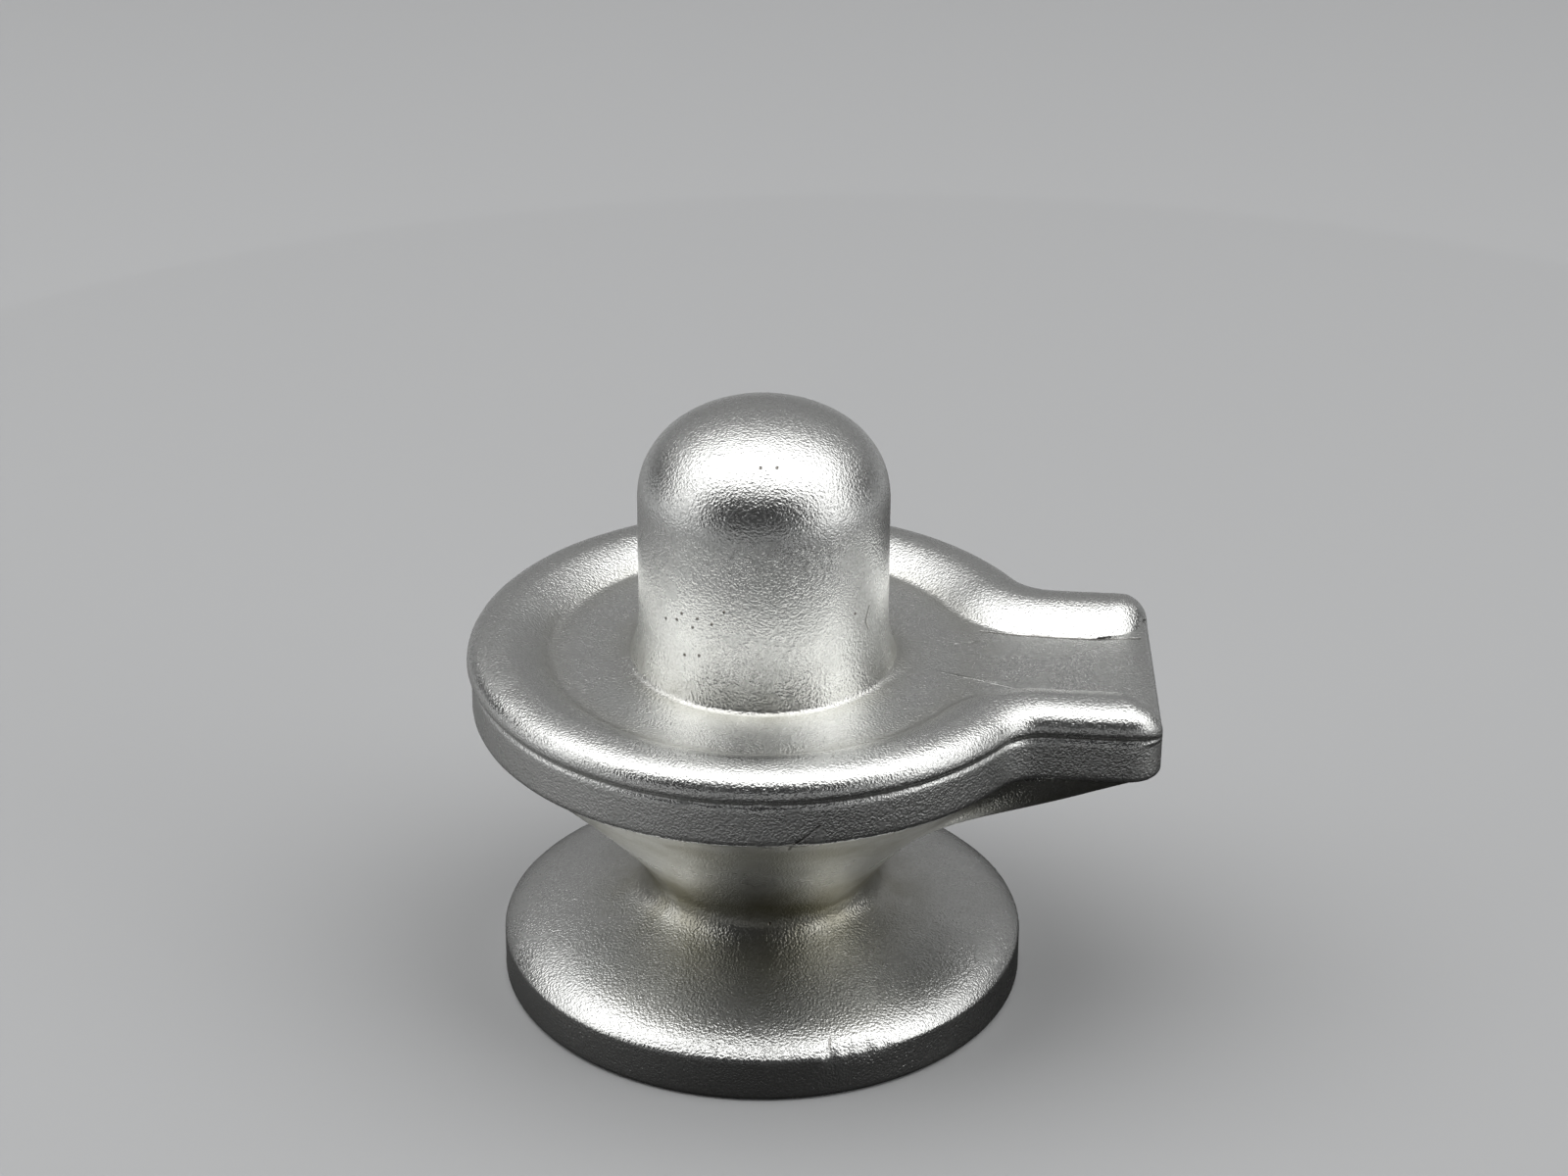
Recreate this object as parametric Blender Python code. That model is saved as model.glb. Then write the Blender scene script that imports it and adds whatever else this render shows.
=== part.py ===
"""A small shiva lingam, cast in one piece of solid silver.

A round foot narrows to a waist and opens into a bowl that carries a round plate. A spout runs out of
the plate along +X. A raised rim goes round the plate and along both sides of the spout, around a flat
basin, and the domed lingam stands in its middle. Metres, +Z up, origin at the middle of the underside.
"""

import math

import bmesh
import bpy
from mathutils import Vector

MM = 0.001

# Foot: a low drum with a small round at each edge, then a flare that levels off towards the waist.
FOOT_RADIUS = 12.0 * MM
FOOT_EDGE_HEIGHT = 2.25 * MM
FOOT_EDGE_ROUND = 0.3 * MM
FLARE_ANGLE = math.radians(26.0)
FLARE_RUN = 3.0 * MM

# Waist: the narrowest ring, low down, and how far it stays upright below and above.
WAIST_RADIUS = 5.4 * MM
WAIST_HEIGHT = 5.3 * MM
WAIST_UPRIGHT_BELOW = 1.9 * MM
WAIST_UPRIGHT_ABOVE = 0.9 * MM

# Bowl: the underside of the plate, and the height where the spout's keel leaves it.
BOWL_ANGLE = math.radians(43.0)
BOWL_RUN = 5.3 * MM
KEEL_HEIGHT = 9.2 * MM
KEEL_CURVE = 1.3

# Plate: outline at the rim's widest line, and the heights of its wall.
PLATE_RADIUS = 13.32 * MM
PLATE_UNDERSIDE = 13.6 * MM
PLATE_EDGE_ROUND = 0.35 * MM
WALL_INSET = 0.18 * MM
GROOVE_HEIGHT = 15.75 * MM
GROOVE_INSET = 0.25 * MM

# Spout: a straight-sided tongue with round corners, faired into the round plate.
SPOUT_REACH = 17.6 * MM
SPOUT_HALF_WIDTH = 6.25 * MM
SPOUT_CORNER = 1.4 * MM
SPOUT_FAIRING = 2.2 * MM

# The spout's end is cut a little askew, so its +Y side is the shorter one.
END_SKEW = math.radians(4.0)
SKEW_START = 12.0 * MM

# Rim and basin: the rim's widest line and crest, and the floor that it surrounds.
RIM_WIDEST_HEIGHT = 16.1 * MM
RIM_CREST_HEIGHT = 17.15 * MM
RIM_CREST_INSET = 1.65 * MM
RIM_SHOULDER_FULLNESS = 2.5
RIM_SLOPE_CURVE = 1.7
FLOOR_HEIGHT = 16.2 * MM
FLOOR_RADIUS = 9.65 * MM
CHANNEL_HALF_WIDTH = 2.55 * MM
CHANNEL_FAIRING = 5.0 * MM
MOUTH_FLARE_LENGTH = 2.6 * MM
MOUTH_EDGE_ROUND = 0.3 * MM
TIP_FULLNESS = 0.75

# Lingam: an upright shaft, slightly flared at its foot, under a dome.
LINGAM_RADIUS = 5.6 * MM
LINGAM_FOOT_FLARE = 0.42 * MM
LINGAM_FLARE_HEIGHT = 2.2 * MM
LINGAM_SHOULDER_HEIGHT = 23.8 * MM
LINGAM_TOP_HEIGHT = 28.1 * MM
DOME_FULLNESS = 2.2

# Facets: how many steps each stretch of half an outline has, and each stretch of the profile.
END_STEPS = 4
CORNER_STEPS = 5
SIDE_STEPS = 5
FAIRING_STEPS = 5
ROUND_STEPS = 31
EDGE_STEPS = 2
FLARE_STEPS = 5
BOWL_STEPS = 9
RIM_OUTER_STEPS = 5
RIM_INNER_STEPS = 4
FLOOR_STEPS = 2
SHAFT_STEPS = 3
DOME_STEPS = 8

SPOUT_SPOKES = END_STEPS + CORNER_STEPS + SIDE_STEPS + FAIRING_STEPS
HALF_SPOKES = SPOUT_SPOKES + ROUND_STEPS
SHARP_ANGLE = math.radians(25.0)


def mix(a, b, share):
    """Blend two numbers or vectors."""
    return a * (1.0 - share) + b * share


def straight(start, end, steps):
    """Points from start up to, and without, end."""
    return [mix(start, end, i / steps) for i in range(steps)]


def arc(centre, radius, first, last, steps):
    """Points on an arc from the first angle up to, and without, the last."""
    points = []
    for i in range(steps):
        angle = mix(first, last, i / steps)
        points.append(centre + radius * Vector((math.cos(angle), math.sin(angle))))
    return points


def curve(start, start_handle, end_handle, end, steps):
    """Points on a cubic curve from start up to, and without, end."""
    points = []
    for i in range(steps):
        t = i / steps
        u = 1.0 - t
        points.append(u**3 * start + 3 * u * u * t * start_handle + 3 * u * t * t * end_handle + t**3 * end)
    return points


def fairing_centre(radius, half_width, fairing):
    """Centre of the arc that joins a straight side to a round plate."""
    across = half_width + fairing
    return Vector((math.sqrt(max((radius + fairing) ** 2 - across**2, 0.0)), across))


def whole(half):
    """A closed outline from its half at +Y, whose first and last points lie on the X axis."""
    mirrored = [Vector((p.x, -p.y)) for p in reversed(half[1:-1])]
    return half + mirrored


def plate_half(inset, radius=None):
    """Half the plate's outline, set in from the rim's widest line."""
    radius = PLATE_RADIUS - inset if radius is None else radius
    half_width = SPOUT_HALF_WIDTH - inset
    reach = SPOUT_REACH - inset
    corner = SPOUT_CORNER - inset
    fairing = SPOUT_FAIRING + inset
    centre = fairing_centre(radius, half_width, fairing)
    join_angle = math.atan2(centre.y, centre.x)
    end_middle = Vector((reach, 0.0))
    end_corner = Vector((reach, half_width - corner))
    side_start = Vector((reach - corner, half_width))
    side_end = Vector((centre.x, half_width))
    corner_centre = Vector((reach - corner, half_width - corner))
    return (
        straight(end_middle, end_corner, END_STEPS)
        + arc(corner_centre, corner, 0.0, math.pi / 2, CORNER_STEPS)
        + straight(side_start, side_end, SIDE_STEPS)
        + arc(centre, fairing, -math.pi / 2, join_angle - math.pi, FAIRING_STEPS)
        + arc(Vector((0.0, 0.0)), radius, join_angle, math.pi, ROUND_STEPS)
        + [Vector((-radius, 0.0))]
    )


def join_angle_at(radius, inset):
    """Angle at which the spout's fairing meets a plate of this radius."""
    centre = fairing_centre(radius, SPOUT_HALF_WIDTH - inset, SPOUT_FAIRING + inset)
    return math.atan2(centre.y, centre.x)


def circle_half(radius, join_angle):
    """Half a circle, with the spout's spokes below the join angle and the rest above it."""
    middle = Vector((0.0, 0.0))
    return (
        arc(middle, radius, 0.0, join_angle, SPOUT_SPOKES)
        + arc(middle, radius, join_angle, math.pi, ROUND_STEPS)
        + [Vector((-radius, 0.0))]
    )


def floor_fairing():
    """Centre of the arc between the channel's side and the basin, and the angle where they meet."""
    centre = fairing_centre(FLOOR_RADIUS, CHANNEL_HALF_WIDTH, CHANNEL_FAIRING)
    return centre, math.atan2(centre.y, centre.x)


def floor_half():
    """Half the floor's edge: open mouth, flared tip of the rim, channel side, fairing and basin."""
    centre, join_angle = floor_fairing()
    reach = SPOUT_REACH - MOUTH_EDGE_ROUND
    mouth_half_width = SPOUT_HALF_WIDTH - SPOUT_CORNER
    flare_width = mouth_half_width - CHANNEL_HALF_WIDTH
    tip = []
    for i in range(CORNER_STEPS):
        angle = math.pi / 2 * (1.0 - i / CORNER_STEPS)
        along = reach - MOUTH_FLARE_LENGTH * (1.0 - math.sin(angle))
        tip.append(Vector((along, mouth_half_width - flare_width * math.cos(angle))))
    side_start = Vector((reach - MOUTH_FLARE_LENGTH, CHANNEL_HALF_WIDTH))
    return (
        straight(Vector((reach, 0.0)), Vector((reach, mouth_half_width)), END_STEPS)
        + tip
        + straight(side_start, Vector((centre.x, CHANNEL_HALF_WIDTH)), SIDE_STEPS)
        + arc(centre, CHANNEL_FAIRING, -math.pi / 2, join_angle - math.pi, FAIRING_STEPS)
        + arc(Vector((0.0, 0.0)), FLOOR_RADIUS, join_angle, math.pi, ROUND_STEPS)
        + [Vector((-FLOOR_RADIUS, 0.0))]
    )


def at_height(half, height):
    """A closed ring of 3-D points from half an outline and one height."""
    return [Vector((p.x, p.y, height)) for p in whole(half)]


def foot_and_waist_rings(join_angle):
    """Round rings from the underside up to the waist."""
    lower_round = Vector((FOOT_RADIUS - FOOT_EDGE_ROUND, FOOT_EDGE_ROUND))
    upper_round = Vector((FOOT_RADIUS - FOOT_EDGE_ROUND, FOOT_EDGE_HEIGHT - FOOT_EDGE_ROUND))
    profile = arc(lower_round, FOOT_EDGE_ROUND, -math.pi / 2, 0.0, EDGE_STEPS)
    profile.append(Vector((FOOT_RADIUS, FOOT_EDGE_ROUND)))
    profile += arc(upper_round, FOOT_EDGE_ROUND, 0.0, math.pi / 2 - FLARE_ANGLE, EDGE_STEPS)
    start = upper_round + FOOT_EDGE_ROUND * Vector((math.sin(FLARE_ANGLE), math.cos(FLARE_ANGLE)))
    waist = Vector((WAIST_RADIUS, WAIST_HEIGHT))
    profile += curve(
        start,
        start + FLARE_RUN * Vector((-math.cos(FLARE_ANGLE), math.sin(FLARE_ANGLE))),
        waist - Vector((0.0, WAIST_UPRIGHT_BELOW)),
        waist,
        FLARE_STEPS,
    )
    return [at_height(circle_half(p.x, join_angle), p.y) for p in profile]


def bowl_rings():
    """Rings from the waist to the plate's lower edge, growing out into the spout's hull."""
    rim = Vector((PLATE_RADIUS - WALL_INSET - PLATE_EDGE_ROUND, PLATE_UNDERSIDE))
    waist = Vector((WAIST_RADIUS, WAIST_HEIGHT))
    profile = curve(
        waist,
        waist + Vector((0.0, WAIST_UPRIGHT_ABOVE)),
        rim - BOWL_RUN * Vector((math.cos(BOWL_ANGLE), math.sin(BOWL_ANGLE))),
        rim,
        BOWL_STEPS,
    )
    profile.append(rim)
    inset = WALL_INSET + PLATE_EDGE_ROUND
    narrowest = SPOUT_HALF_WIDTH + SPOUT_CORNER
    rings = []
    for p in profile:
        share = max(p.y - KEEL_HEIGHT, 0.0) / (PLATE_UNDERSIDE - KEEL_HEIGHT)
        share = share**KEEL_CURVE
        plate_radius = max(p.x, narrowest)
        plain = circle_half(p.x, join_angle_at(plate_radius, inset))
        spouted = plate_half(inset, plate_radius)
        rings.append(at_height([mix(a, b, share) for a, b in zip(plain, spouted)], p.y))
    return rings


def rim_rings():
    """Rings up the wall, over the rim and down to the floor's edge."""
    outer = plate_half(0.0)
    inner = floor_half()
    wall_top = GROOVE_HEIGHT - GROOVE_INSET
    rings = [at_height(plate_half(WALL_INSET), PLATE_UNDERSIDE + PLATE_EDGE_ROUND)]
    rings.append(at_height(plate_half(WALL_INSET), wall_top))

    # Each row is a share of the way from the widest line to the floor's edge, and a height.
    width = PLATE_RADIUS - FLOOR_RADIUS
    power = 2.0 / RIM_SHOULDER_FULLNESS
    rows = [(GROOVE_INSET / width, GROOVE_HEIGHT)]
    for i in range(RIM_OUTER_STEPS):
        angle = math.pi / 2 * i / RIM_OUTER_STEPS
        rise = (RIM_CREST_HEIGHT - RIM_WIDEST_HEIGHT) * math.sin(angle) ** power
        inset = RIM_CREST_INSET * (1.0 - math.cos(angle) ** power)
        rows.append((inset / width, RIM_WIDEST_HEIGHT + rise))
    for i in range(RIM_INNER_STEPS + 1):
        t = i / RIM_INNER_STEPS
        drop = (RIM_CREST_HEIGHT - FLOOR_HEIGHT) * t**RIM_SLOPE_CURVE
        rows.append((mix(RIM_CREST_INSET / width, 1.0, t), RIM_CREST_HEIGHT - drop))

    fullness = rim_fullness(outer, inner)
    for row, (across, height) in enumerate(rows):
        climb = row / (len(rows) - 1)
        plain_height = mix(wall_top, FLOOR_HEIGHT, climb)
        half = [mix(a, b, mix(climb**3, across, full)) for a, b, full in zip(outer, inner, fullness)]
        heights = [mix(plain_height, height, full) for full in fullness]
        heights = heights + heights[-2:0:-1]
        rings.append([Vector((p.x, p.y, z)) for p, z in zip(whole(half), heights)])
    return rings


def rim_fullness(outer, inner):
    """How much of the rim's height each spoke carries: none at the open mouth, all past the tips."""
    full_width = SPOUT_HALF_WIDTH - CHANNEL_HALF_WIDTH - MOUTH_EDGE_ROUND
    fullness = []
    for a, b in zip(outer, inner):
        width = max((a - b).length - MOUTH_EDGE_ROUND, 0.0)
        fullness.append(min(width / full_width, 1.0) ** TIP_FULLNESS)
    return fullness


def floor_and_lingam_rings():
    """Rings across the floor and up the lingam to just below its top."""
    edge = floor_half()
    join_angle = floor_fairing()[1]
    foot = circle_half(LINGAM_RADIUS + LINGAM_FOOT_FLARE, join_angle)
    rings = []
    for i in range(1, FLOOR_STEPS + 1):
        rings.append(at_height([mix(a, b, i / FLOOR_STEPS) for a, b in zip(edge, foot)], FLOOR_HEIGHT))
    profile = []
    for i in range(1, SHAFT_STEPS + 1):
        t = i / SHAFT_STEPS
        radius = LINGAM_RADIUS + LINGAM_FOOT_FLARE * (1.0 - t) ** 2
        profile.append(Vector((radius, FLOOR_HEIGHT + LINGAM_FLARE_HEIGHT * t)))
    for i in range(DOME_STEPS):
        angle = math.pi / 2 * i / DOME_STEPS
        radius = LINGAM_RADIUS * math.cos(angle) ** (2.0 / DOME_FULLNESS)
        rise = (LINGAM_TOP_HEIGHT - LINGAM_SHOULDER_HEIGHT) * math.sin(angle) ** (2.0 / DOME_FULLNESS)
        profile.append(Vector((radius, LINGAM_SHOULDER_HEIGHT + rise)))
    return rings + [at_height(circle_half(p.x, join_angle), p.y) for p in profile]


def skewed(point):
    """Move a point of the spout along X, more towards its end."""
    share = min(max((point.x - SKEW_START) / (SPOUT_REACH - SKEW_START), 0.0), 1.0)
    return Vector((point.x - point.y * math.tan(END_SKEW) * share * share, point.y, point.z))


def loft(bm, rings, top):
    """One closed skin over the rings, flat below and brought to one point above."""
    layers = [[bm.verts.new(skewed(p)) for p in ring] for ring in rings]
    bm.faces.new(list(reversed(layers[0])))
    for lower, upper in zip(layers, layers[1:]):
        for i in range(len(lower)):
            j = (i + 1) % len(lower)
            bm.faces.new((lower[i], lower[j], upper[j], upper[i]))
    point = bm.verts.new(top)
    last = layers[-1]
    for i in range(len(last)):
        bm.faces.new((last[i], last[(i + 1) % len(last)], point))


def silver():
    """Frosted cast silver."""
    material = bpy.data.materials.new("frosted_silver")
    material.use_nodes = True
    shader = material.node_tree.nodes["Principled BSDF"]
    shader.inputs["Base Color"].default_value = (0.72, 0.71, 0.68, 1.0)
    shader.inputs["Metallic"].default_value = 1.0
    shader.inputs["Roughness"].default_value = 0.42
    return material


def clear_scene():
    """Remove whatever the file held."""
    for obj in list(bpy.data.objects):
        bpy.data.objects.remove(obj, do_unlink=True)


def main():
    """Build the casting in its own collection."""
    clear_scene()
    collection = bpy.data.collections.new("shiva_lingam")
    bpy.context.scene.collection.children.link(collection)

    bowl = bowl_rings()
    widest_join = join_angle_at(SPOUT_HALF_WIDTH + SPOUT_CORNER, WALL_INSET + PLATE_EDGE_ROUND)
    rings = foot_and_waist_rings(widest_join) + bowl + rim_rings() + floor_and_lingam_rings()

    bm = bmesh.new()
    loft(bm, rings, Vector((0.0, 0.0, LINGAM_TOP_HEIGHT)))
    mesh = bpy.data.meshes.new("shiva_lingam")
    bm.to_mesh(mesh)
    bm.free()
    mesh.shade_smooth()
    mesh.set_sharp_from_angle(angle=SHARP_ANGLE)
    mesh.materials.append(silver())
    casting = bpy.data.objects.new("shiva_lingam", mesh)
    collection.objects.link(casting)


main()
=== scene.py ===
"""Looks for a small silver shiva lingam: one frosted casting on a pale floor, in soft studio light.

The casting is a fine skin of the form that the frame holds: foot, waist, bowl, plate with its spout,
rim, basin and lingam, with the small wear and flaws of a hand-finished silver casting.
"""

import math

import bmesh
import bpy
import numpy as np
from mathutils import Matrix, Vector, noise


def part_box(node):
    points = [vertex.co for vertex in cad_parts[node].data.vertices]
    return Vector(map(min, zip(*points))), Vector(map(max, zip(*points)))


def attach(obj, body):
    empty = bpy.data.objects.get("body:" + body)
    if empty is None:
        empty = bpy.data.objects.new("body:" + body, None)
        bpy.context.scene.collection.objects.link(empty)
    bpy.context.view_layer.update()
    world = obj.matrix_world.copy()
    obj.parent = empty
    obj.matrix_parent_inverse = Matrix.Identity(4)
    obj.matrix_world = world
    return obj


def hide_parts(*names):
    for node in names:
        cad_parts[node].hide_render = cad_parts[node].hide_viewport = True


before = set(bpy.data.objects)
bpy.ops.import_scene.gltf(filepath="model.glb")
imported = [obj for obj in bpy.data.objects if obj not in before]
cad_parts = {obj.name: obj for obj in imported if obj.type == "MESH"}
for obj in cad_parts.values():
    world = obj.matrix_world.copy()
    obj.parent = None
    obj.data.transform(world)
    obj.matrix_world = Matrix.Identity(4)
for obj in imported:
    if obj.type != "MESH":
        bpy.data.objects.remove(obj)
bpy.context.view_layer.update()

MM = 0.001

CAST_LOW, CAST_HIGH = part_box("shiva_lingam")

# Foot: a low drum with a small round at each edge, then a flare that levels off towards the waist.
FOOT_RADIUS = 12.0 * MM
FOOT_EDGE_HEIGHT = 2.25 * MM
FOOT_EDGE_ROUND = 0.3 * MM
FLARE_ANGLE = math.radians(44.0)
FLARE_RUN = 2.6 * MM

# Waist: the narrowest ring, and how far it stays upright below and above.
WAIST_RADIUS = 5.4 * MM
WAIST_HEIGHT = 5.3 * MM
WAIST_UPRIGHT_BELOW = 1.9 * MM
WAIST_UPRIGHT_ABOVE = 0.9 * MM

# Bowl: the underside of the plate, and the height where the spout's keel leaves it.
BOWL_ANGLE = math.radians(43.0)
BOWL_RUN = 5.3 * MM
KEEL_HEIGHT = 9.2 * MM
KEEL_CURVE = 1.3

# Plate: outline at the rim's widest line, and the heights of its wall.
PLATE_RADIUS = CAST_HIGH.y
PLATE_UNDERSIDE = 13.6 * MM
PLATE_EDGE_ROUND = 0.35 * MM
WALL_INSET = 0.18 * MM
GROOVE_HEIGHT = 15.75 * MM
GROOVE_INSET = 0.25 * MM

# Spout: a straight-sided tongue with round corners, faired into the round plate.
SPOUT_REACH = 17.6 * MM
SPOUT_HALF_WIDTH = 6.25 * MM
SPOUT_CORNER = 1.4 * MM
SPOUT_FAIRING = 2.2 * MM

# The spout's end is cut a little askew, so its +Y side is the shorter one.
END_SKEW = math.radians(4.0)
SKEW_START = 12.0 * MM

# Rim and basin: the rim's widest line and crest, and the floor that it surrounds.
RIM_WIDEST_HEIGHT = 16.1 * MM
RIM_CREST_HEIGHT = 17.15 * MM
RIM_CREST_INSET = 1.65 * MM
RIM_SHOULDER_FULLNESS = 2.5
RIM_SLOPE_CURVE = 1.7
FLOOR_HEIGHT = 16.2 * MM
FLOOR_RADIUS = 9.65 * MM
CHANNEL_HALF_WIDTH = 2.55 * MM
CHANNEL_FAIRING = 5.0 * MM
MOUTH_FLARE_LENGTH = 2.6 * MM
MOUTH_EDGE_ROUND = 0.3 * MM
TIP_FULLNESS = 0.75

# How far up the plain edge of the open mouth the rows at the rim's widest line and crest lie.
CLIMB_AT_WIDEST = 0.1
CLIMB_AT_CREST = 0.6

# Lingam: an upright shaft, slightly flared at its foot, under a dome.
LINGAM_RADIUS = 5.6 * MM
LINGAM_FOOT_FLARE = 0.42 * MM
LINGAM_FLARE_HEIGHT = 2.2 * MM
LINGAM_SHOULDER_HEIGHT = 23.8 * MM
LINGAM_TOP_HEIGHT = CAST_HIGH.z
DOME_FULLNESS = 2.2

# How finely each stretch of half an outline is divided, and each stretch of the profile.
END_STEPS = 8
CORNER_STEPS = 22
SIDE_STEPS = 12
FAIRING_STEPS = 18
ROUND_STEPS = 146
UNDERSIDE_STEPS = 5
EDGE_STEPS = 5
FOOT_WALL_STEPS = 8
FLARE_STEPS = 34
BOWL_STEPS = 34
PLATE_EDGE_STEPS = 5
WALL_STEPS = 10
GROOVE_STEPS = 8
RIM_OUTER_STEPS = 22
RIM_INNER_STEPS = 18
FLOOR_STEPS = 14
SHAFT_FLARE_STEPS = 10
SHAFT_STEPS = 18
DOME_STEPS = 34
SPOUT_SPOKES = END_STEPS + CORNER_STEPS + SIDE_STEPS + FAIRING_STEPS

# Cast unevenness: broad, low swells that a mould and a file leave.
SWELL_PITCH = 4.0 * MM
SWELL_HEIGHT = 0.02 * MM
DIMPLE_PITCH = 1.3 * MM
DIMPLE_HEIGHT = 0.006 * MM
FLAT_BELOW = 0.4 * MM

# Dents: middle, reach and depth of each in mm. The first two are the crack's notch in the plate's lower
# edge, the next four wear along the foot's edge, and the last one is a nick in the groove.
DENTS = (
    ((2.25, -12.70, 13.62), 0.40, 0.16),
    ((2.85, -12.95, 13.70), 0.50, 0.05),
    ((4.05, -11.20, 2.12), 0.55, 0.09),
    ((4.85, -10.90, 2.14), 0.60, 0.07),
    ((5.60, -10.55, 2.12), 0.65, 0.08),
    ((6.35, -10.15, 2.14), 0.50, 0.05),
    ((1.06, -13.10, 15.80), 0.35, 0.10),
)

# Fine dark lines, each as the points that it runs through in mm: the crack, a hairline on the shaft,
# a line on the foot, and the seam of old tarnish along the channel's far side.
CRACK = (
    (3.56, -12.70, 14.65),
    (3.28, -12.80, 14.44),
    (2.99, -12.87, 14.13),
    (2.46, -12.90, 13.81),
    (2.20, -12.0, 13.05),
)
HAIRLINE = ((4.90, -2.70, 20.1), (4.79, -2.91, 19.6), (4.77, -2.95, 19.4), (4.88, -2.76, 19.0))
FOOT_LINE = ((3.93, -10.24, 2.93), (4.01, -11.15, 2.25))
CHANNEL_SEAM = (
    (9.7, 2.78, 16.22),
    (11.4, 2.56, 16.22),
    (13.0, 2.5, 16.22),
    (14.7, 2.5, 16.22),
    (16.9, 2.8, 16.22),
)

# Each line's points, its half width in mm and how dark it is.
LINES = (
    (CRACK, 0.11, 1.0),
    (HAIRLINE, 0.07, 0.7),
    (FOOT_LINE, 0.08, 0.7),
    (CHANNEL_SEAM, 0.12, 0.6),
)

# Pits: on the shaft by angle in degrees and height in mm, and on the dome and the waist by place in mm.
PIT_RADIUS = 0.1
SHAFT_PITS = (
    (-102.5, 20.9),
    (-118.2, 19.8),
    (-115.7, 20.3),
    (-134.6, 19.7),
    (-127.4, 19.9),
    (-124.4, 20.3),
    (-108.4, 20.2),
    (-122.9, 18.3),
    (-114.9, 18.5),
    (-39.0, 20.1),
)
OTHER_PITS = ((0.2, -3.87, 27.1), (0.9, -3.77, 27.1), (0.82, -5.36, 5.11))

# The silver's grain and its broader clouds, in cycles per mm, and how deep the grain goes.
FINE_GRAIN = 9.5
COARSE_GRAIN = 2.4
CLOUDS = 0.45
GRAIN_DEPTH = 0.036 * MM
COARSE_SHARE = 0.1
FLAW_DEPTH_SHARE = 0.8
FLAW_COLOUR_SHARE = 0.85
FLAW_CORE = 0.3

# Roughness of the clean silver from its brighter to its duller clouds, and what tarnish adds.
SMOOTHEST = 0.25
ROUGHEST = 0.29
TARNISH_ROUGHNESS = 0.08

# How strong the tarnish is on the basin and at its edge, and the painted shade under the plate, against
# the neck's tarnish and painted shade.
BASIN_TARNISH = 0.3
BASIN_EDGE_TARNISH = 0.8
UNDERSIDE_PAINTED_SHADE = 0.7

# Colours of the silver: its two clean greys, the painted shade and the painted glints in its grain,
# tarnish that also paints shade at the neck and under the plate, and grime.
BRIGHT_SILVER = (0.83, 0.835, 0.815, 1.0)
DULL_SILVER = (0.77, 0.775, 0.755, 1.0)
GRAIN_PAINTED_SHADE = (0.42, 0.42, 0.41, 1.0)
GRAIN_PAINTED_GLINT = (0.97, 0.97, 0.96, 1.0)
# The tarnish colour, also used as painted shade at the neck and under the plate.
TARNISH_AND_SHADE = (0.34, 0.32, 0.23, 1.0)
GRIME = (0.09, 0.07, 0.05, 1.0)

# Camera: in front, a little to the left of the spout, looking down on the basin.
AIM = Vector((0.912, 0.0, 19.36)) * MM
CAMERA_DISTANCE = 166.86 * MM
CAMERA_PITCH = math.radians(27.02)
CAMERA_YAW = math.radians(4.8)
CAMERA_ROLL = math.radians(0.38)
CAMERA_LENS = 85.75
CAMERA_SENSOR = 36.0

# A dark round card on the floor, seen in the silver's reflections alone. It is black round its darkest
# place and grey further out, and the black reaches further along Y.
FLAG_RADIUS = 90.0 * MM
FLAG_SEGMENTS = 96
FLAG_MIDDLE = Vector((7.6, 10.0, 0.05)) * MM
DARKEST_PLACE = Vector((14.0, 0.0, 0.05)) * MM
FLAG_SQUEEZE = (1.0, 0.62, 1.0)
BLACK_REACH = 14.0 * MM
GREY_FROM = 60.0 * MM
FLAG_BLACK = 0.004
FLAG_GREY = 0.24

# The floor.
FLOOR_HALF_WIDTH = 3.0
FLOOR_GREY = (0.50, 0.505, 0.51)
FLOOR_ROUGHNESS = 0.7
FLAG_ROUGHNESS = 0.8

# Softboxes: name, place, width, depth and glow, in metres and in watts per square metre and steradian.
# All of them point at the casting's middle.
LIT_POINT = Vector((0.0, 0.0, 18.0)) * MM
SOFTBOXES = (
    ("overhead_softbox", (0.0, 0.0, 0.32), 0.78, 0.34, 1.20),
    ("overhead_spill", (0.0, 0.04, 0.36), 1.20, 0.60, 0.25),
    ("overhead_wings", (0.0, 0.0, 0.37), 2.00, 0.36, 0.45),
    ("left_softbox", (-0.42, -0.12, 0.13), 0.30, 0.34, 1.0),
    ("right_softbox", (0.42, -0.14, 0.13), 0.30, 0.34, 1.3),
    ("rear_softbox", (0.0, 0.50, 0.20), 1.30, 0.46, 0.20),
)
ROOM_GREY = (0.02, 0.02, 0.021, 1.0)


def blend(a, b, share):
    """Mix two numbers or arrays."""
    return a * (1.0 - share) + b * share


def line(start, end, steps):
    """Points from start up to, and without, end, as rows."""
    share = (np.arange(steps) / steps)[:, None]
    return blend(np.asarray(start, float), np.asarray(end, float), share)


def bow(centre, radius, first, last, steps):
    """Points on an arc from the first angle up to, and without, the last."""
    angles = blend(first, last, np.arange(steps) / steps)
    return np.asarray(centre, float) + radius * np.stack([np.cos(angles), np.sin(angles)], 1)


def sweep(start, start_handle, end_handle, end, steps):
    """Points on a cubic curve from start up to, and without, end."""
    t = (np.arange(steps) / steps)[:, None]
    u = 1.0 - t
    handles = [np.asarray(p, float) for p in (start, start_handle, end_handle, end)]
    return u**3 * handles[0] + 3 * u * u * t * handles[1] + 3 * u * t * t * handles[2] + t**3 * handles[3]


def fairing_centre(radius, half_width, fairing):
    """Centre of the arc that joins a straight side to a round plate."""
    across = half_width + fairing
    return np.array([math.sqrt(max((radius + fairing) ** 2 - across**2, 0.0)), across])


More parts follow.
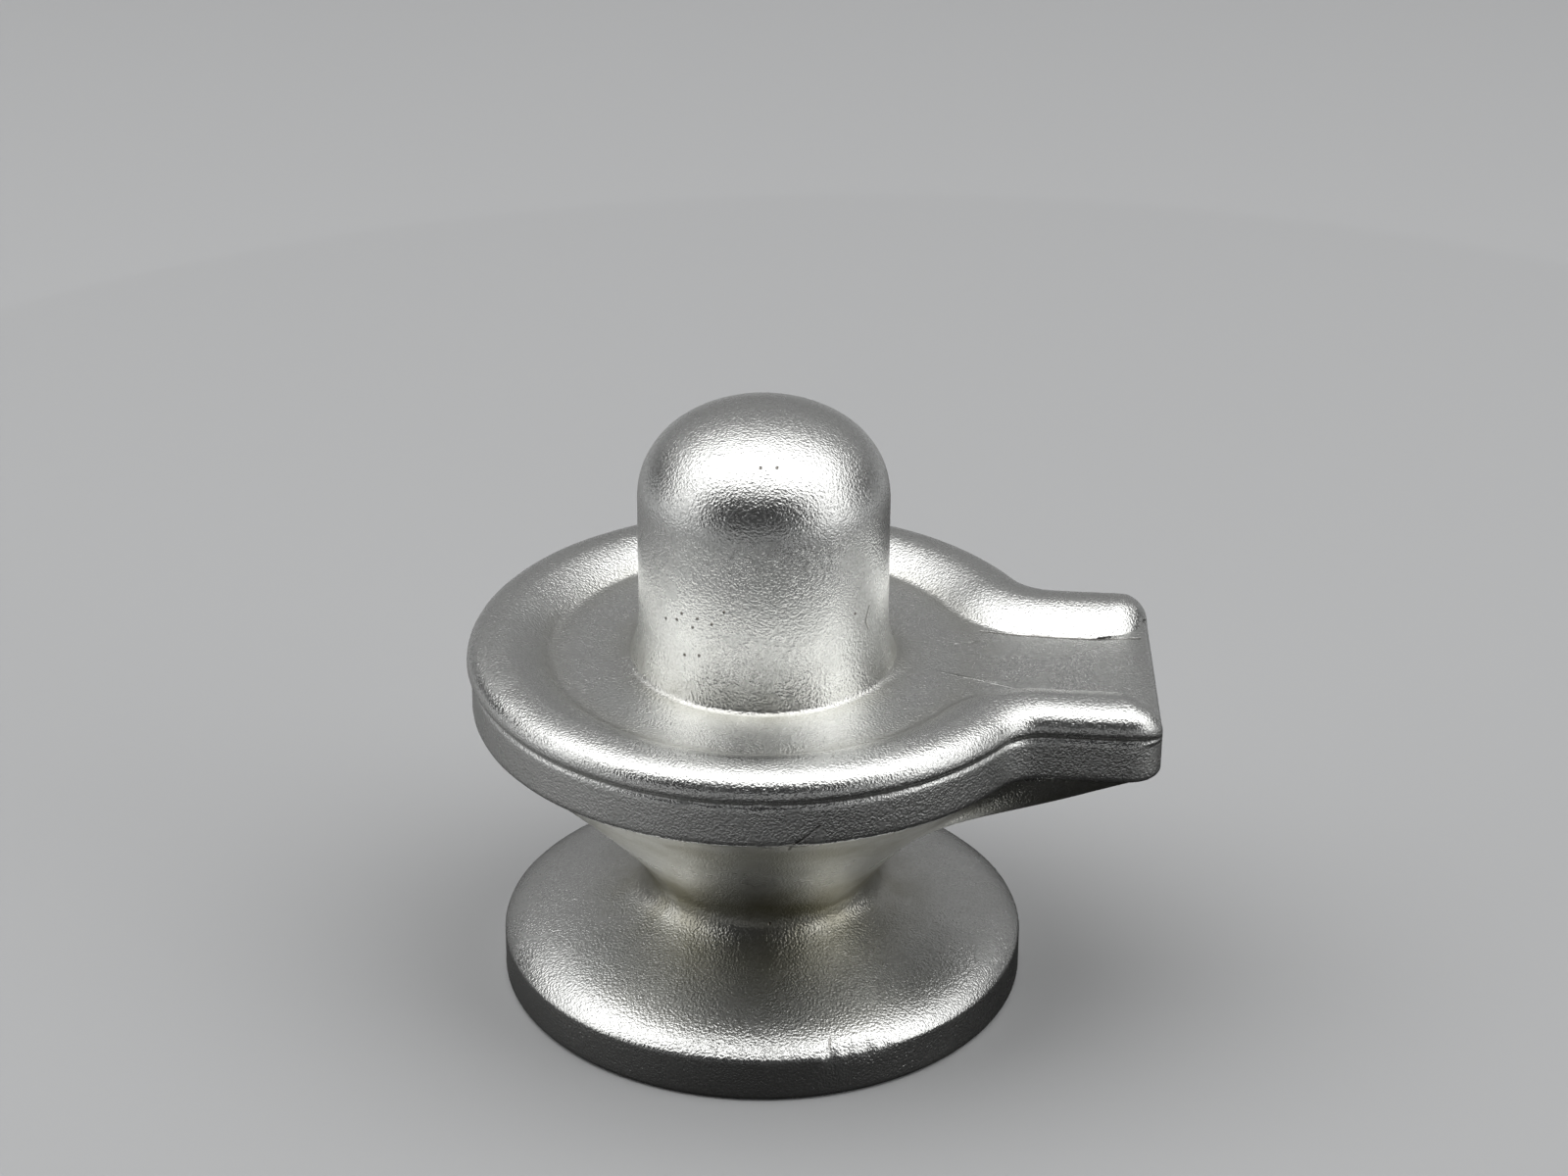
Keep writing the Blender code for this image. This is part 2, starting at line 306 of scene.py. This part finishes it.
def plate_half(inset, radius=None):
    """Half the plate's outline, set in from the rim's widest line."""
    radius = PLATE_RADIUS - inset if radius is None else radius
    half_width = SPOUT_HALF_WIDTH - inset
    reach = SPOUT_REACH - inset
    corner = SPOUT_CORNER - inset
    fairing = SPOUT_FAIRING + inset
    centre = fairing_centre(radius, half_width, fairing)
    join_angle = math.atan2(centre[1], centre[0])
    return np.concatenate([
        line((reach, 0.0), (reach, half_width - corner), END_STEPS),
        bow((reach - corner, half_width - corner), corner, 0.0, math.pi / 2, CORNER_STEPS),
        line((reach - corner, half_width), (centre[0], half_width), SIDE_STEPS),
        bow(centre, fairing, -math.pi / 2, join_angle - math.pi, FAIRING_STEPS),
        bow((0.0, 0.0), radius, join_angle, math.pi, ROUND_STEPS),
        [(-radius, 0.0)],
    ])


def join_angle_at(radius, inset):
    """Angle at which the spout's fairing meets a plate of this radius."""
    centre = fairing_centre(radius, SPOUT_HALF_WIDTH - inset, SPOUT_FAIRING + inset)
    return math.atan2(centre[1], centre[0])


def circle_half(radius, join_angle):
    """Half a circle, with the spout's spokes below the join angle and the rest above it."""
    return np.concatenate([
        bow((0.0, 0.0), radius, 0.0, join_angle, SPOUT_SPOKES),
        bow((0.0, 0.0), radius, join_angle, math.pi, ROUND_STEPS),
        [(-radius, 0.0)],
    ])


def floor_fairing():
    """Centre of the arc between the channel's side and the basin, and the angle where they meet."""
    centre = fairing_centre(FLOOR_RADIUS, CHANNEL_HALF_WIDTH, CHANNEL_FAIRING)
    return centre, math.atan2(centre[1], centre[0])


def floor_half():
    """Half the floor's edge: open mouth, flared tip of the rim, channel side, fairing and basin."""
    centre, join_angle = floor_fairing()
    reach = SPOUT_REACH - MOUTH_EDGE_ROUND
    mouth_half_width = SPOUT_HALF_WIDTH - SPOUT_CORNER
    flare_width = mouth_half_width - CHANNEL_HALF_WIDTH
    angles = math.pi / 2 * (1.0 - np.arange(CORNER_STEPS) / CORNER_STEPS)
    along = reach - MOUTH_FLARE_LENGTH * (1.0 - np.sin(angles))
    tip = np.stack([along, mouth_half_width - flare_width * np.cos(angles)], 1)
    side_start = (reach - MOUTH_FLARE_LENGTH, CHANNEL_HALF_WIDTH)
    return np.concatenate([
        line((reach, 0.0), (reach, mouth_half_width), END_STEPS),
        tip,
        line(side_start, (centre[0], CHANNEL_HALF_WIDTH), SIDE_STEPS),
        bow(centre, CHANNEL_FAIRING, -math.pi / 2, join_angle - math.pi, FAIRING_STEPS),
        bow((0.0, 0.0), FLOOR_RADIUS, join_angle, math.pi, ROUND_STEPS),
        [(-FLOOR_RADIUS, 0.0)],
    ])


def ring(half, height):
    """A closed ring of points from half an outline at +Y and a height for each of its points."""
    heights = np.broadcast_to(height, len(half))
    half = np.column_stack([half, heights])
    mirrored = half[-2:0:-1] * (1.0, -1.0, 1.0)
    return np.concatenate([half, mirrored])


def foot_rings(join_angle):
    """Round rings over the flat underside, the foot and the flare, up to the waist."""
    inner = FOOT_RADIUS - FOOT_EDGE_ROUND
    lower_round = (inner, FOOT_EDGE_ROUND)
    upper_round = np.array([inner, FOOT_EDGE_HEIGHT - FOOT_EDGE_ROUND])
    start = upper_round + FOOT_EDGE_ROUND * np.array([math.sin(FLARE_ANGLE), math.cos(FLARE_ANGLE)])
    waist = np.array([WAIST_RADIUS, WAIST_HEIGHT])
    run = FLARE_RUN * np.array([-math.cos(FLARE_ANGLE), math.sin(FLARE_ANGLE)])
    profile = np.concatenate([
        line((0.0, 0.0), (inner, 0.0), UNDERSIDE_STEPS),
        bow(lower_round, FOOT_EDGE_ROUND, -math.pi / 2, 0.0, EDGE_STEPS),
        line((FOOT_RADIUS, FOOT_EDGE_ROUND), (FOOT_RADIUS, upper_round[1]), FOOT_WALL_STEPS),
        bow(upper_round, FOOT_EDGE_ROUND, 0.0, math.pi / 2 - FLARE_ANGLE, EDGE_STEPS),
        sweep(start, start + run, waist - (0.0, WAIST_UPRIGHT_BELOW), waist, FLARE_STEPS),
    ])
    return [ring(circle_half(radius, join_angle), height) for radius, height in profile]


def bowl_rings():
    """Rings from the waist to the plate's lower edge, growing out into the spout's hull."""
    rim = np.array([PLATE_RADIUS - WALL_INSET - PLATE_EDGE_ROUND, PLATE_UNDERSIDE])
    waist = np.array([WAIST_RADIUS, WAIST_HEIGHT])
    run = BOWL_RUN * np.array([math.cos(BOWL_ANGLE), math.sin(BOWL_ANGLE)])
    profile = sweep(waist, waist + (0.0, WAIST_UPRIGHT_ABOVE), rim - run, rim, BOWL_STEPS)
    inset = WALL_INSET + PLATE_EDGE_ROUND
    narrowest = SPOUT_HALF_WIDTH + SPOUT_CORNER
    rings = []
    for radius, height in profile:
        share = max(height - KEEL_HEIGHT, 0.0) / (PLATE_UNDERSIDE - KEEL_HEIGHT)
        plate_radius = max(radius, narrowest)
        plain = circle_half(radius, join_angle_at(plate_radius, inset))
        rings.append(ring(blend(plain, plate_half(inset, plate_radius), share**KEEL_CURVE), height))
    return rings


def rim_fullness(outer, inner):
    """How much of the rim's height each spoke carries: none at the open mouth, all past the tips."""
    full_width = SPOUT_HALF_WIDTH - CHANNEL_HALF_WIDTH - MOUTH_EDGE_ROUND
    width = np.maximum(np.linalg.norm(outer - inner, axis=1) - MOUTH_EDGE_ROUND, 0.0)
    return np.minimum(width / full_width, 1.0) ** TIP_FULLNESS


def wall_rings(full):
    """Rings round the plate's lower edge and up its wall to the groove."""
    rings = []
    edge = bow((0.0, PLATE_EDGE_ROUND), PLATE_EDGE_ROUND, -math.pi / 2, 0.0, PLATE_EDGE_STEPS)
    for out, up in edge:
        inset = WALL_INSET + PLATE_EDGE_ROUND - out
        flush = blend(plate_half(inset - WALL_INSET), plate_half(inset), full)
        rings.append(ring(flush, PLATE_UNDERSIDE + up))
    flush = blend(plate_half(0.0), plate_half(WALL_INSET), full)
    wall_start = PLATE_UNDERSIDE + PLATE_EDGE_ROUND
    for height in np.linspace(wall_start, GROOVE_HEIGHT - GROOVE_INSET, WALL_STEPS):
        rings.append(ring(flush, height))
    return rings


def rim_rows():
    """How far across the rim each row lies, its height, and how far up the plain mouth edge it is."""
    width = PLATE_RADIUS - FLOOR_RADIUS
    wall_top = GROOVE_HEIGHT - GROOVE_INSET
    power = 2.0 / RIM_SHOULDER_FULLNESS
    rows = []
    for t in (np.arange(GROOVE_STEPS) + 1.0) / GROOVE_STEPS:
        if t <= 0.5:
            dip = blend(WALL_INSET, GROOVE_INSET, 0.5 - 0.5 * math.cos(2.0 * math.pi * t))
            height = blend(wall_top, GROOVE_HEIGHT, 2.0 * t)
        else:
            dip = GROOVE_INSET * (0.5 + 0.5 * math.cos(math.pi * (2.0 * t - 1.0)))
            height = blend(GROOVE_HEIGHT, RIM_WIDEST_HEIGHT, 2.0 * t - 1.0)
        rows.append((dip / width, height, CLIMB_AT_WIDEST * t))
    for t in (np.arange(RIM_OUTER_STEPS) + 1.0) / RIM_OUTER_STEPS:
        angle = math.pi / 2 * t
        height = blend(RIM_WIDEST_HEIGHT, RIM_CREST_HEIGHT, math.sin(angle) ** power)
        inset = RIM_CREST_INSET * (1.0 - max(math.cos(angle), 0.0) ** power)
        rows.append((inset / width, height, blend(CLIMB_AT_WIDEST, CLIMB_AT_CREST, t)))
    for t in (np.arange(RIM_INNER_STEPS) + 1.0) / RIM_INNER_STEPS:
        height = blend(RIM_CREST_HEIGHT, FLOOR_HEIGHT, t**RIM_SLOPE_CURVE)
        across = blend(RIM_CREST_INSET / width, 1.0, t)
        rows.append((across, height, blend(CLIMB_AT_CREST, 1.0, t)))
    return rows


def rim_rings(full):
    """Rings over the groove and the rim and down to the floor's edge."""
    outer = plate_half(0.0)
    inner = floor_half()
    wall_top = GROOVE_HEIGHT - GROOVE_INSET
    rings = []
    for across, height, climb in rim_rows():
        share = blend(climb**3, across, full[:, 0])[:, None]
        heights = blend(blend(wall_top, FLOOR_HEIGHT, climb), height, full[:, 0])
        rings.append(ring(blend(outer, inner, share), heights))
    return rings


def basin_rings():
    """Rings across the floor of the basin and its channel to the lingam's foot."""
    edge = floor_half()
    foot = circle_half(LINGAM_RADIUS + LINGAM_FOOT_FLARE, floor_fairing()[1])
    shares = (np.arange(FLOOR_STEPS) + 1.0) / FLOOR_STEPS
    return [ring(blend(edge, foot, share), FLOOR_HEIGHT) for share in shares]


def lingam_rings():
    """Rings up the shaft and over the dome to its very top."""
    profile = []
    for t in (np.arange(SHAFT_FLARE_STEPS) + 1.0) / SHAFT_FLARE_STEPS:
        radius = LINGAM_RADIUS + LINGAM_FOOT_FLARE * (1.0 - t) ** 2
        profile.append((radius, FLOOR_HEIGHT + LINGAM_FLARE_HEIGHT * t))
    shaft_start = FLOOR_HEIGHT + LINGAM_FLARE_HEIGHT
    for t in (np.arange(SHAFT_STEPS) + 1.0) / SHAFT_STEPS:
        profile.append((LINGAM_RADIUS, blend(shaft_start, LINGAM_SHOULDER_HEIGHT, t)))
    for angle in math.pi / 2 * (np.arange(DOME_STEPS) + 1.0) / DOME_STEPS:
        radius = LINGAM_RADIUS * max(math.cos(angle), 0.0) ** (2.0 / DOME_FULLNESS)
        rise = (LINGAM_TOP_HEIGHT - LINGAM_SHOULDER_HEIGHT) * math.sin(angle) ** (2.0 / DOME_FULLNESS)
        profile.append((radius, LINGAM_SHOULDER_HEIGHT + rise))
    join_angle = floor_fairing()[1]
    return [ring(circle_half(radius, join_angle), height) for radius, height in profile]


def skewed(points):
    """Move the points of the spout along X, more towards its end."""
    share = np.clip((points[..., 0] - SKEW_START) / (SPOUT_REACH - SKEW_START), 0.0, 1.0)
    points = points.copy()
    points[..., 0] -= points[..., 1] * math.tan(END_SKEW) * share**2
    return points


def casting_rings():
    """Every ring of the casting, from the middle of its underside to the top of the dome."""
    widest_join = join_angle_at(SPOUT_HALF_WIDTH + SPOUT_CORNER, WALL_INSET + PLATE_EDGE_ROUND)
    full = rim_fullness(plate_half(0.0), floor_half())[:, None]
    rings = foot_rings(widest_join) + bowl_rings() + wall_rings(full) + rim_rings(full)
    rings += basin_rings() + lingam_rings()
    return skewed(np.array(rings))


def tarnish_and_shade_at(points):
    """How much warm tarnish and painted shade lies at each point: a mild tarnish on the basin, at its
    edge and round the lingam's foot, tarnish darkened into painted shade at the neck, and painted shade
    under the plate.
    """
    radius = np.hypot(points[:, 0], points[:, 1])
    height = points[:, 2]

    def near(value, middle, reach):
        return np.exp(-(((value - middle) / reach) ** 2))

    on_top = height > FLOOR_HEIGHT - 0.1 * MM
    lingam_foot = LINGAM_RADIUS + LINGAM_FOOT_FLARE
    foot_of_lingam = near(radius, lingam_foot, 0.9 * MM) * near(height, FLOOR_HEIGHT, 1.4 * MM)
    basin_edge = near(radius, FLOOR_RADIUS, 0.8 * MM) * near(height, FLOOR_HEIGHT, 0.5 * MM)
    # At the neck the tarnish is darkened into painted shade, and under the plate the share is painted
    # shade.
    neck = near(radius, WAIST_RADIUS, 2.2 * MM) * near(height, WAIST_HEIGHT + 1.0 * MM, 3.2 * MM)
    under = near(height, 12.0 * MM, 2.4 * MM) * (height < PLATE_UNDERSIDE)
    basin = on_top * (foot_of_lingam + BASIN_EDGE_TARNISH * basin_edge)
    return np.clip(BASIN_TARNISH * basin + neck + UNDERSIDE_PAINTED_SHADE * under, 0.0, 1.0)


def spread_sheet(rings):
    """A sheet of quads bent over the rings, its seam and its two poles closed."""
    layers, spokes = rings.shape[:2]
    bm = bmesh.new()
    bmesh.ops.create_grid(bm, x_segments=spokes, y_segments=layers - 1, size=1.0)
    for index, vert in enumerate(bm.verts):
        layer, spoke = divmod(index, spokes + 1)
        vert.co = rings[layer, spoke % spokes]
    bmesh.ops.remove_doubles(bm, verts=bm.verts, dist=1e-9)
    bmesh.ops.recalc_face_normals(bm, faces=bm.faces)
    return bm


def dent_depths(points):
    """How far each point is pushed in by the dents near it."""
    depths = np.zeros(len(points))
    for middle, reach, depth in DENTS:
        away = np.linalg.norm(points / MM - middle, axis=1) / reach
        depths += depth * MM * np.clip(1.0 - away**2, 0.0, 1.0) ** 2
    return depths


def roughen(bm):
    """Give the surface the low swells of a hand-finished casting, with the underside left flat."""
    bm.normal_update()
    depths = dent_depths(np.array([vert.co for vert in bm.verts]))
    moved = []
    for vert, depth in zip(bm.verts, depths):
        swell = noise.noise(vert.co / SWELL_PITCH) * SWELL_HEIGHT
        dimple = noise.noise(vert.co / DIMPLE_PITCH) * DIMPLE_HEIGHT
        free = min(vert.co.z / FLAT_BELOW, 1.0)
        moved.append(vert.co + vert.normal * ((swell + dimple) * free - depth))
    for vert, place in zip(bm.verts, moved):
        vert.co = [min(max(v, low), high) for v, low, high in zip(place, CAST_LOW, CAST_HIGH)]


def casting():
    """The whole casting as one closed skin."""
    bm = spread_sheet(casting_rings())
    roughen(bm)
    mesh = bpy.data.meshes.new("silver_casting")
    bm.to_mesh(mesh)
    bm.free()
    mesh.shade_smooth()
    points = np.empty(len(mesh.vertices) * 3)
    mesh.vertices.foreach_get("co", points)
    # Each point's share of tarnish and of painted shade.
    tarnish_and_shade = mesh.attributes.new("tarnish_and_shade", "FLOAT", "POINT")
    tarnish_and_shade.data.foreach_set("value", tarnish_and_shade_at(points.reshape(-1, 3)))
    mesh.materials.append(frosted_silver())
    piece = bpy.data.objects.new("silver_casting", mesh)
    bpy.context.scene.collection.objects.link(piece)
    return piece


class Nodes:
    """Small helper that adds and joins the nodes of one material."""

    def __init__(self, material):
        material.use_nodes = True
        self.tree = material.node_tree
        self.shader = self.tree.nodes["Principled BSDF"]

    def add(self, kind, inputs=None, **settings):
        """A new node with its settings, and with each named or numbered input joined or set."""
        node = self.tree.nodes.new(kind)
        for name, value in settings.items():
            setattr(node, name, value)
        for socket, value in (inputs or {}).items():
            self.feed(node, socket, value)
        return node

    def feed(self, node, socket, value):
        """Join an output to an input, or set the input to a plain value."""
        if isinstance(value, bpy.types.NodeSocket):
            self.tree.links.new(value, node.inputs[socket])
        else:
            node.inputs[socket].default_value = value

    def maths(self, operation, *values):
        """Output of a Math node."""
        return self.add("ShaderNodeMath", dict(enumerate(values)), operation=operation).outputs[0]

    def ramp(self, value, low, high, new_low=0.0, new_high=1.0):
        """Output of a Map Range node that turns low..high into new_low..new_high."""
        values = {0: value, 1: low, 2: high, 3: new_low, 4: new_high}
        return self.add("ShaderNodeMapRange", values, interpolation_type="SMOOTHSTEP").outputs[0]

    def mixed(self, share, first, second):
        """Output of a Mix node between two colours."""
        node = self.add("ShaderNodeMix", data_type="RGBA")
        self.feed(node, 0, share)
        self.feed(node, 6, first)
        self.feed(node, 7, second)
        return node.outputs[2]

    def vector(self, operation, *values):
        """A Vector Math node."""
        return self.add("ShaderNodeVectorMath", dict(enumerate(values)), operation=operation)

    def spot(self, place, middle, reach):
        """1 at a point, falling to 0 at the reach."""
        away = self.vector("DISTANCE", place, middle).outputs["Value"]
        return self.ramp(away, FLAW_CORE * reach, reach, 1.0, 0.0)

    def scratch(self, place, start, end, reach):
        """1 on the straight line between two points, falling to 0 at the reach."""
        span = Vector(end) - Vector(start)
        offset = self.vector("SUBTRACT", place, start).outputs[0]
        along = self.vector("DOT_PRODUCT", offset, tuple(span / span.length_squared)).outputs["Value"]
        share = self.add("ShaderNodeClamp", {"Value": along}).outputs[0]
        values = {0: tuple(span), "Scale": share}
        nearest = self.add("ShaderNodeVectorMath", values, operation="SCALE").outputs[0]
        away = self.vector("DISTANCE", offset, nearest).outputs["Value"]
        return self.ramp(away, FLAW_CORE * reach, reach, 1.0, 0.0)

    def grain(self, place, scale, detail=2.0, roughness=0.5):
        """Output of a Noise Texture node, with the scale in cycles per millimetre."""
        values = {"Vector": place, "Scale": scale, "Detail": detail, "Roughness": roughness}
        return self.add("ShaderNodeTexNoise", values).outputs["Fac"]


def shaft_place(angle, height):
    """A point on the shaft's surface, in mm."""
    radius = LINGAM_RADIUS / MM
    return (radius * math.cos(math.radians(angle)), radius * math.sin(math.radians(angle)), height)


def flaws(nodes, in_mm):
    """How deep in a pit or a fine line each point lies, from 0 to 1."""
    masks = []
    for place in [shaft_place(*pit) for pit in SHAFT_PITS] + list(OTHER_PITS):
        masks.append(nodes.spot(in_mm, place, PIT_RADIUS))
    for path, reach, strength in LINES:
        for start, end in zip(path, path[1:]):
            masks.append(nodes.maths("MULTIPLY", nodes.scratch(in_mm, start, end, reach), strength))
    deepest = masks[0]
    for mask in masks[1:]:
        deepest = nodes.maths("MAXIMUM", deepest, mask)
    return deepest


def frosted_silver():
    """Bead-blasted cast silver: a satin grain with painted shade and painted glints in its colour, warm
    tarnish on the basin, tarnish with painted shade at the neck, and painted shade under the plate.
    """
    material = bpy.data.materials.new("frosted_silver")
    nodes = Nodes(material)
    shader = nodes.shader
    shader.inputs["Metallic"].default_value = 1.0

    place = nodes.add("ShaderNodeTexCoord").outputs["Object"]
    per_mm = (1.0 / MM, 1.0 / MM, 1.0 / MM)
    in_mm = nodes.add("ShaderNodeMapping", {"Vector": place, "Scale": per_mm}).outputs[0]
    tarnish_and_shade = nodes.add("ShaderNodeAttribute", attribute_name="tarnish_and_shade").outputs["Fac"]

    # The grain: blasted dimples under a fifth of a millimetre across, over broader mottling.
    fine = nodes.grain(in_mm, FINE_GRAIN, 1.0, 0.5)
    coarse = nodes.grain(in_mm, COARSE_GRAIN, 2.0, 0.5)
    flaw = flaws(nodes, in_mm)
    height = nodes.maths("ADD", fine, nodes.maths("MULTIPLY", coarse, COARSE_SHARE))
    height = nodes.maths("SUBTRACT", height, nodes.maths("MULTIPLY", flaw, FLAW_DEPTH_SHARE))
    bump = nodes.add("ShaderNodeBump", {"Height": height, "Distance": GRAIN_DEPTH, "Strength": 1.0})
    nodes.feed(shader, "Normal", bump.outputs[0])

    cloud = nodes.grain(in_mm, CLOUDS, 3.0, 0.6)
    silver = nodes.mixed(nodes.ramp(cloud, 0.35, 0.65), BRIGHT_SILVER, DULL_SILVER)
    # Painted shade where the grain's noise is low and painted glints where it is high, from the same
    # noise as the bump.
    grain_with_painted_shade = nodes.mixed(nodes.ramp(fine, 0.3, 0.5, 0.25, 0.0), silver, GRAIN_PAINTED_SHADE)
    grain_with_painted_glints = nodes.mixed(nodes.ramp(fine, 0.5, 0.7, 0.0, 0.35), grain_with_painted_shade, GRAIN_PAINTED_GLINT)
    # Tarnish share, which is painted shade at the neck and under the plate.
    tarnish_and_shade_share = nodes.maths("MULTIPLY", tarnish_and_shade, nodes.ramp(cloud, 0.3, 0.7, 0.55, 1.0))
    toned = nodes.mixed(tarnish_and_shade_share, grain_with_painted_glints, TARNISH_AND_SHADE)
    grimy = nodes.maths("MULTIPLY", flaw, FLAW_COLOUR_SHARE)
    nodes.feed(shader, "Base Color", nodes.mixed(grimy, toned, GRIME))

    clean_rough = nodes.ramp(cloud, 0.3, 0.7, SMOOTHEST, ROUGHEST)
    extra_rough = nodes.maths("MULTIPLY", tarnish_and_shade_share, TARNISH_ROUGHNESS)
    nodes.feed(shader, "Roughness", nodes.maths("ADD", clean_rough, extra_rough))
    return material


def pale_floor():
    """The plain matt grey of the floor."""
    material = bpy.data.materials.new("pale_floor")
    shader = Nodes(material).shader
    shader.inputs["Base Color"].default_value = (*FLOOR_GREY, 1.0)
    shader.inputs["Roughness"].default_value = FLOOR_ROUGHNESS
    return material


def fading_black():
    """A matt black round the darkest place, growing grey away from it."""
    material = bpy.data.materials.new("dark_flag")
    nodes = Nodes(material)
    place = nodes.add("ShaderNodeTexCoord").outputs["Object"]
    offset = nodes.vector("SUBTRACT", place, tuple(DARKEST_PLACE)).outputs[0]
    squeezed = nodes.vector("MULTIPLY", offset, FLAG_SQUEEZE).outputs[0]
    away = nodes.vector("LENGTH", squeezed).outputs["Value"]
    grey = nodes.ramp(away, BLACK_REACH, GREY_FROM, FLAG_BLACK, FLAG_GREY)
    colour = nodes.add("ShaderNodeCombineXYZ", {0: grey, 1: grey, 2: grey}).outputs[0]
    nodes.feed(nodes.shader, "Base Color", colour)
    nodes.shader.inputs["Roughness"].default_value = FLAG_ROUGHNESS
    return material


def card(name, bm, material):
    """A flat mesh that is part of the stage."""
    mesh = bpy.data.meshes.new(name)
    bm.to_mesh(mesh)
    bm.free()
    mesh.materials.append(material)
    piece = bpy.data.objects.new(name, mesh)
    bpy.context.scene.collection.objects.link(piece)
    return piece


def stage():
    """A wide pale floor, and a dark card on it that only the silver sees, to give the front its depth."""
    floor = bmesh.new()
    bmesh.ops.create_grid(floor, x_segments=1, y_segments=1, size=FLOOR_HALF_WIDTH)
    card("floor", floor, pale_floor())

    disc = bmesh.new()
    bmesh.ops.create_circle(disc, cap_ends=True, segments=FLAG_SEGMENTS, radius=FLAG_RADIUS)
    bmesh.ops.translate(disc, vec=FLAG_MIDDLE, verts=disc.verts)
    dark = card("dark_flag", disc, fading_black())
    dark.visible_camera = False
    dark.visible_diffuse = False
    dark.visible_shadow = False


def softbox(name, place, width, depth, glow):
    """A rectangular softbox, as bright as glow, that points at the casting's middle."""
    light = bpy.data.lights.new(name, "AREA")
    light.shape = "RECTANGLE"
    light.size = width
    light.size_y = depth
    light.energy = math.pi * width * depth * glow
    lamp = bpy.data.objects.new(name, light)
    lamp.location = place
    lamp.rotation_euler = (LIT_POINT - Vector(place)).to_track_quat("-Z", "Y").to_euler()
    bpy.context.scene.collection.objects.link(lamp)
    return lamp


def studio_light():
    """The softboxes: three overhead, a low one each side and one behind, in a dim room."""
    for box in SOFTBOXES:
        softbox(*box)

    world = bpy.data.worlds.new("studio")
    bpy.context.scene.world = world
    world.use_nodes = True
    room = world.node_tree.nodes["Background"]
    room.inputs["Color"].default_value = ROOM_GREY
    room.inputs["Strength"].default_value = 1.0


def place_camera():
    """The camera, looking along +Y and down."""
    pitch_cos = math.cos(CAMERA_PITCH)
    pitch_sin = math.sin(CAMERA_PITCH)
    back = Vector((0.0, -pitch_cos, pitch_sin))
    up = Vector((0.0, pitch_sin, pitch_cos))
    place = AIM + back * CAMERA_DISTANCE
    matrix = Matrix.Identity(4)
    for row in range(3):
        matrix[row][0] = (1.0, 0.0, 0.0)[row]
        matrix[row][1] = up[row]
        matrix[row][2] = back[row]
        matrix[row][3] = place[row]
    lens = bpy.data.cameras.new("camera")
    lens.lens = CAMERA_LENS
    lens.sensor_width = CAMERA_SENSOR
    lens.clip_start = 1.0 * MM
    camera = bpy.data.objects.new("camera", lens)
    bpy.context.scene.collection.objects.link(camera)
    yaw = Matrix.Rotation(CAMERA_YAW, 4, "Z")
    camera.matrix_world = yaw @ matrix @ Matrix.Rotation(CAMERA_ROLL, 4, "Z")
    bpy.context.scene.camera = camera


def main():
    """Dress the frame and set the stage."""
    place_camera()
    piece = casting()
    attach(piece, "root")
    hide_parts("shiva_lingam")
    stage()
    studio_light()
    bpy.context.scene.view_settings.view_transform = "Standard"


main()
